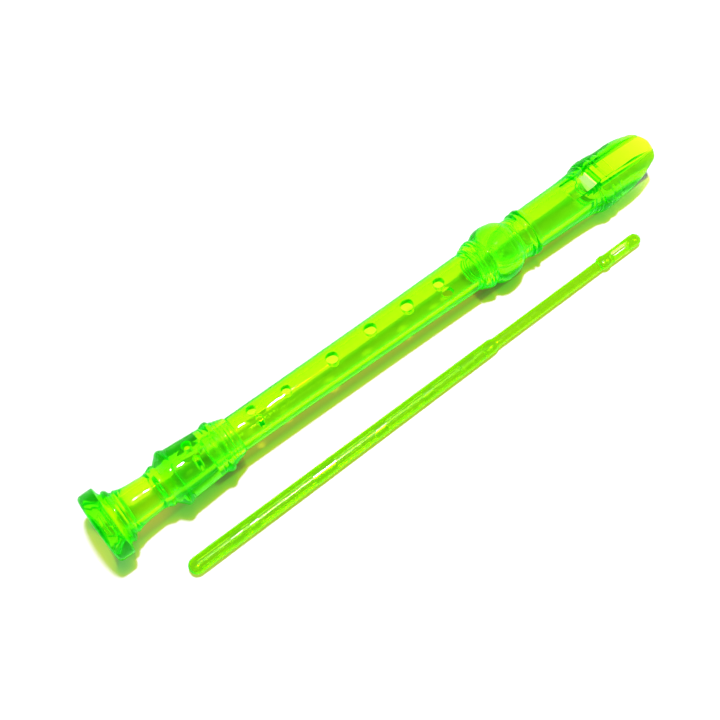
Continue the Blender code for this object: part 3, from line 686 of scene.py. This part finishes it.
def headSkin(name):
    # The outside of the head as a closed solid: turned rings as far as the beak, then ellipses. A point
    # at angle a lies half width times sin a across, and at the middle height plus the reach times cos a.
    turnedPart = profileFrom(head["outside"])
    quarter = np.linspace(0, math.pi / 2, head["tipRows"])[1:]
    beakStart = head["beak"][0][0]
    back = np.concatenate([
        np.linspace(beakStart, head["tipRound"], head["beakRows"])[1:],
        head["tipRound"] * (1 - np.sin(quarter)),
    ])
    half, under, top = beakSections(back)
    sides = head["sides"]
    angle = 2 * math.pi * (np.arange(sides) + 0.5) / sides
    radius = turnedPart[:, 1]
    station = np.concatenate([turnedPart[:, 0], head["tip"] - back])
    across = np.outer(np.concatenate([radius, half]), np.sin(angle))
    middleHeight = np.concatenate([np.zeros(len(radius)), (top + under) / 2])
    reach = np.concatenate([radius, (top - under) / 2])
    reach[-1] = 0.0
    across[-1] = 0.0
    up = middleHeight[:, None] + np.outer(reach, np.cos(angle))
    points = np.stack([np.repeat(station, sides), across.ravel(), up.ravel()], axis=1)
    return gridMesh(name, points, len(station), sides, False)


def dropped(height, station):
    # A height in the windway at a station: both its faces drop evenly from its exit to the tip
    share = (station - head["windwayExit"]) / (head["tip"] - head["windwayExit"])
    return height - head["windwayDrop"] * share


def overPrism(name, height):
    # All that lies over the windway's roof or floor, from a little before its exit
    start = head["windwayExit"] - head["overlap"]
    end = head["overEnd"]
    top = head["overTop"]
    outline = [(start, dropped(height, start)), (end, dropped(height, end)), (end, top), (start, top)]
    return prism(name, outline, top)


headMesh = headSkin("headJoint")
headBore = turned("headBore", profileFrom(straightRuns(head["boreSpacing"], [
    (head["cutterEnd"], 0.0),
    (head["cutterEnd"], head["boreRadius"]),
    (head["socketFloor"], head["boreRadius"]),
    (head["socketFloor"], head["socketRadius"]),
    (head["cutterStart"], head["socketRadius"]),
    (head["cutterStart"], 0.0),
])), head["sides"])
headBore = carved(headBore, [overPrism("roof", head["windwayRoof"])])
windway = prism("windway", [
    (head["undercutStart"], head["cutterLow"]),
    (head["cutterEnd"], head["cutterLow"]),
    (head["cutterEnd"], dropped(head["windwayRoof"], head["cutterEnd"])),
    (head["windwayExit"], head["windwayRoof"]),
    (head["windwayExit"], head["undercut"]),
    (head["undercutStart"], head["undercut"]),
], head["windwayHalf"])
window = prism("window", head["window"], head["windowHalf"])
headMesh = carved(headMesh, [headBore, windway, window])
headJoint = laidDown("headJoint", headMesh, recorderAxes, clearGreen, "head", "head_joint")

# Block
block = {
    "radius": 7.1,
    "half": 4.95,
    "front": head["windwayExit"],
    "back": 340.0,  # cut off at the head's outside
    "arcPoints": 73,
}


def plugMesh(name, top):
    # A rod along the bore. Its section is a circle of the block's radius below, radius sin a across and
    # radius cos a up, and above it a flat between two upright sides that meet the circle.
    radius = block["radius"]
    half = block["half"]
    first = math.asin(half / radius)
    arc = np.linspace(first, 2 * math.pi - first, block["arcPoints"])
    across = np.concatenate([radius * np.sin(arc), [-half, half]])
    up = np.concatenate([radius * np.cos(arc), [top, top]])
    ends = []
    for station in (block["front"], block["back"]):
        ends.append(np.stack([np.full(len(across), station), across, up], axis=1))
    return solidBetween(name, *ends)


blockMesh = plugMesh("block", head["windwayFloor"])
blockMesh = carved(blockMesh, [headSkin("blockSkin")], "INTERSECT")
blockMesh = carved(blockMesh, [overPrism("overBlock", head["windwayFloor"])])
windwayBlock = laidDown("windwayBlock", blockMesh, recorderAxes, whitePlastic, "head", "block")

# Cleaning rod
rod = {
    "sides": 64,
    "length": 273.3,
    "middle": (-5.766, -22.738, 3.074),
    "yaw": math.radians(0.45),
    "width": 0.9877,
    "flatness": 0.7408,
    "outline": [
        (0.3, [(0.0, 0.0), (0.15, 1.3), (0.8, 2.6), (2.1, 3.65), (4.15, 4.15)]),
        (2.0, [(4.15, 4.15), (175.0, 3.65)]),
        (0.4, [(175.0, 3.65), (176.2, 3.3), (177.4, 2.8)]),
        (2.0, [(177.4, 2.8), (246.5, 2.8)]),
        (0.25, [(246.5, 2.8), (247.2, 3.5), (247.9, 3.7), (250.0, 3.7), (250.6, 3.5), (251.1, 3.3)]),
        (1.0, [(251.1, 3.3), (270.0, 3.3)]),
        (0.25, [(270.0, 3.3), (271.6, 2.9), (272.6, 2.1), (273.15, 1.1), (273.3, 0.0)]),
    ],
    "recesses": [
        # Start and end along the rod
        (5.0, 22.0),
        (28.5, 32.5),
        (37.0, 68.0),
        (80.5, 103.5),
        (110.0, 132.5),
        (138.5, 155.5),
        (164.5, 170.5),
    ],
    "recessHalf": 0.8,
    "recessFloor": 2.17,
    "eyeStart": 254.0,
    "eyeEnd": 265.6,
    "eyeHalf": 1.4,
    "eyeArcPoints": 13,
    "cutterReach": 6.0,
}


def eyeCutter(name):
    # A slot through the rod, from under it to over it, whose ends are half circles: cos a along the rod
    # and sin a across it, times half the slot's width
    half = rod["eyeHalf"]
    angle = np.linspace(-math.pi / 2, math.pi / 2, rod["eyeArcPoints"])
    farEnd = rod["eyeEnd"] - half + half * np.cos(angle)
    nearEnd = rod["eyeStart"] + half - half * np.cos(angle)
    station = np.concatenate([farEnd, nearEnd])
    across = np.concatenate([half * np.sin(angle), -half * np.sin(angle)])
    outlines = []
    for up in (-rod["cutterReach"], rod["cutterReach"]):
        outlines.append(np.stack([station, across, np.full(len(station), up)], axis=1))
    return solidBetween(name, *outlines)


turnRod = np.array([
    (math.cos(rod["yaw"]), math.sin(rod["yaw"]), 0.0),
    (-math.sin(rod["yaw"]), math.cos(rod["yaw"]), 0.0),
    (0.0, 0.0, 1.0),
])
rodStart = mm * (np.array(rod["middle"]) - rod["length"] / 2 * turnRod[0])
rodMesh = turned("cleaningRod", profileFrom(rod["outline"]), rod["sides"], 0.5)
movePoints(rodMesh, coordinates(rodMesh) * (1.0, rod["width"], rod["flatness"]))
rodTools = []
for i, (start, end) in enumerate(rod["recesses"]):
    top = (rod["recessFloor"], rod["cutterReach"])
    under = (-rod["cutterReach"], -rod["recessFloor"])
    for face, (low, high) in (("Top", top), ("Under", under)):
        outline = [(start, low), (end, low), (end, high), (start, high)]
        rodTools.append(prism(f"recess{face}{i}", outline, rod["recessHalf"]))
rodTools.append(eyeCutter("eye"))
rodMesh = carved(rodMesh, rodTools)
cleaningRod = laidDown("cleaningRod", rodMesh, (rodStart, turnRod), rodGreen, "rod", "cleaning_rod")

# Floor, light and camera
studio = {
    "floor": 6.0,
    "paper": 0.86,
    "paperRoughness": 0.9,
    "floorInGloss": 0.4,
    "fillStart": 0.1,
    "fillEnd": 1.5,
    "fill": 1.1,
    "horizon": 1.0,
    "zenith": 0.75,
    "bandTop": 0.6,
    "inGloss": 0.15,
    "inShade": 0.1,
    "lampPlace": (0.098, 0.09, 1.2),
    "lampLength": 0.13,
    "lampWidth": 0.07,
    "lampPower": 15.5,
    "cameraPlace": (-0.146078, -0.177719, 0.445171),
    "cameraYaw": 0.5839,
    "cameraPitch": 1.0974,
    "cameraRoll": -0.0844,
    "lens": 51.84,
    "sensor": 36.0,
    "clipStart": 0.01,
}


def reflectedRays(tree):
    # 1 where a surface is seen as a reflection, and 0 where it is seen directly or through plastic
    ray = tree.nodes.new("ShaderNodeLightPath")
    share = tree.nodes.new("ShaderNodeMath")
    share.operation = "SUBTRACT"
    share.use_clamp = True
    tree.links.new(ray.outputs["Is Glossy Ray"], share.inputs[0])
    tree.links.new(ray.outputs["Is Transmission Ray"], share.inputs[1])
    return share.outputs["Value"]


def paperFloor(name):
    # Pale matt paper, dimmer in reflections. The lamp's light falls off across it, and a fill that
    # grows with the distance from the middle evens it out to the horizon.
    material = bpy.data.materials.new(name)
    material.use_nodes = True
    tree = material.node_tree
    shell = tree.nodes["Principled BSDF"]
    shell.inputs["Roughness"].default_value = studio["paperRoughness"]
    shell.inputs["Specular IOR Level"].default_value = 0.0
    pale = np.full(3, studio["paper"])
    colour = colourMix(tree, reflectedRays(tree), pale, pale * studio["floorInGloss"])
    tree.links.new(colour, shell.inputs["Base Color"])
    tree.links.new(colour, shell.inputs["Emission Color"])
    place = tree.nodes.new("ShaderNodeTexCoord")
    distance = tree.nodes.new("ShaderNodeVectorMath")
    distance.operation = "LENGTH"
    tree.links.new(place.outputs["Object"], distance.inputs[0])
    fillRange = (studio["fillStart"], studio["fillEnd"])
    fill = ranged(tree, distance.outputs["Value"], fillRange, (0.0, studio["fill"]))
    tree.links.new(fill.outputs["Result"], shell.inputs["Emission Strength"])
    return material


floorMesh = bpy.data.meshes.new("floor")
half = studio["floor"] / 2
floorCorners = [(-half, -half, 0), (half, -half, 0), (half, half, 0), (-half, half, 0)]
floorMesh.from_pydata(floorCorners, [], [(0, 1, 2, 3)])
floorMesh.materials.append(paperFloor("paperFloor"))
floor = bpy.data.objects.new("floor", floorMesh)
bpy.context.scene.collection.objects.link(floor)

# A pale room round the table, paler at its horizon. It is dimmer in reflections and as fill on matt
# surfaces than it is through the plastic.
world = bpy.data.worlds.new("softSky")
bpy.context.scene.world = world
world.use_nodes = True
sky = world.node_tree
background = sky.nodes["Background"]
background.inputs["Color"].default_value = (1.0, 1.0, 1.0, 1.0)
direction = sky.nodes.new("ShaderNodeTexCoord")
height = sky.nodes.new("ShaderNodeSeparateXYZ")
sky.links.new(direction.outputs["Generated"], height.inputs["Vector"])
skyRange = (studio["horizon"], studio["zenith"])
strength = ranged(sky, height.outputs["Z"], (0.0, studio["bandTop"]), skyRange).outputs["Result"]
skyRay = sky.nodes.new("ShaderNodeLightPath")
shares = (
    (reflectedRays(sky), studio["inGloss"]),
    (skyRay.outputs["Is Diffuse Ray"], studio["inShade"]),
)
for kind, share in shares:
    part = ranged(sky, kind, (0.0, 1.0), (1.0, share))
    dim = sky.nodes.new("ShaderNodeMath")
    dim.operation = "MULTIPLY"
    sky.links.new(strength, dim.inputs[0])
    sky.links.new(part.outputs["Result"], dim.inputs[1])
    strength = dim.outputs["Value"]
sky.links.new(strength, background.inputs["Strength"])

lamp = bpy.data.lights.new("longSoftbox", "AREA")
lamp.shape = "ELLIPSE"
lamp.size = studio["lampLength"]
lamp.size_y = studio["lampWidth"]
lamp.energy = studio["lampPower"]
lampObject = bpy.data.objects.new("longSoftbox", lamp)
lampObject.location = studio["lampPlace"]
bpy.context.scene.collection.objects.link(lampObject)

camera = bpy.data.cameras.new("camera")
camera.lens = studio["lens"]
camera.sensor_width = studio["sensor"]
camera.clip_start = studio["clipStart"]
cameraObject = bpy.data.objects.new("camera", camera)
heading = Matrix.Rotation(-studio["cameraYaw"], 4, "Z")
lookDown = Matrix.Rotation(math.pi / 2 - studio["cameraPitch"], 4, "X")
roll = Matrix.Rotation(studio["cameraRoll"], 4, "Z")
cameraObject.matrix_world = Matrix.Translation(studio["cameraPlace"]) @ heading @ lookDown @ roll
bpy.context.scene.collection.objects.link(cameraObject)
bpy.context.scene.camera = cameraObject
bpy.context.scene.view_settings.view_transform = "Standard"
bpy.context.scene.view_settings.look = "Medium High Contrast"
print("floor, light and camera made")
